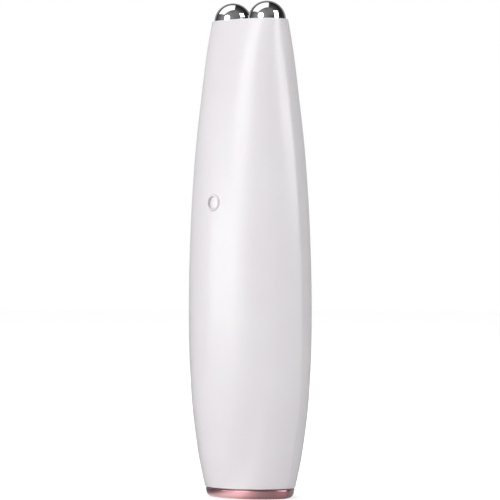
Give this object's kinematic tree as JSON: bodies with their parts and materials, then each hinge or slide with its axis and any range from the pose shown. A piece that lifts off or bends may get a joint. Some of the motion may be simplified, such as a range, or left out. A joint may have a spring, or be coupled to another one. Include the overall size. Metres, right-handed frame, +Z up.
{
  "type": "microcurrent face lift pen",
  "caption": "Slim barrel-shaped hand-held face pen with two polished metal balls at the tip, a ring-shaped power button and a metallic base band.",
  "frame": {"origin": "middle of the flat base, at the bottom of the object's box", "axes": "+Z up the pen towards the balls, +X along the line from the left ball to the right ball, -Y out of the front where the button is"},
  "size_m": [0.038, 0.0286, 0.1306],
  "materials": {
    "pearl_white": "satin pearl lacquer",
    "rose_gold": "polished rose-gold plating",
    "chrome": "mirror",
    "white_button": "satin",
    "natural_plastic": "matte",
    "black_plastic": "matte",
    "rubber": "matte",
    "board_green": "solder mask",
    "ferrite": "matte ferrite",
    "capacitor_tan": "ceramic",
    "cell_wrap": "shrink wrap",
    "steel": "plain steel",
    "brass": "plain brass",
    "red_wire": "insulation",
    "black_wire": "insulation",
    "white_wire": "insulation"
  },
  "bodies": {
    "housing": {"front_shell": "pearl_white", "rear_shell": "pearl_white", "base_ring": "rose_gold", "base_seal": "rubber", "left_electrode": "chrome", "right_electrode": "chrome", "electrode_carrier": "natural_plastic", "left_electrode_seal": "rubber", "right_electrode_seal": "rubber", "left_electrode_nut": "brass", "right_electrode_nut": "brass", "left_electrode_terminal": "brass", "right_electrode_terminal": "brass", "chassis": "black_plastic", "circuit_board": "board_green", "control_chip": "black_plastic", "boost_coil": "ferrite", "capacitor_1": "capacitor_tan", "capacitor_2": "capacitor_tan", "capacitor_3": "capacitor_tan", "button_retainer": "natural_plastic", "tactile_switch": "black_plastic", "battery_cell": "cell_wrap", "battery_strap": "steel", "motor_can": "steel", "motor_boot": "rubber", "charge_socket": "steel", "socket_tongue": "black_plastic", "charge_board": "board_green", "left_electrode_wire": "white_wire", "right_electrode_wire": "white_wire", "cell_positive_wire": "red_wire", "cell_negative_wire": "black_wire", "motor_positive_wire": "red_wire", "motor_negative_wire": "black_wire", "charge_positive_wire": "red_wire", "charge_negative_wire": "black_wire", "chassis_screw_1": "steel", "board_screw_1": "steel", "chassis_screw_2": "steel", "board_screw_2": "steel", "chassis_screw_3": "steel", "board_screw_3": "steel", "chassis_screw_4": "steel", "board_screw_4": "steel", "carrier_screw_1": "steel", "charge_board_screw_1": "steel", "carrier_screw_2": "steel", "charge_board_screw_2": "steel"},
    "button": {"power_button": "white_button", "switch_plunger": "natural_plastic"},
    "rotor": {"motor_shaft": "steel", "eccentric_weight": "brass"}
  },
  "joints": [
    {"name": "button_press", "type": "slide", "parent": "housing", "child": "button", "axis": [0, 1, 0], "range_m": [0, 0.0004], "stiffness_N_per_m": 1200, "springref_m": -0.0006},
    {"name": "motor_spin", "type": "hinge", "parent": "housing", "child": "rotor", "pos_m": [0, 0.0019, 0.099], "axis": [0, 0, 1], "continuous": true}
  ]
}
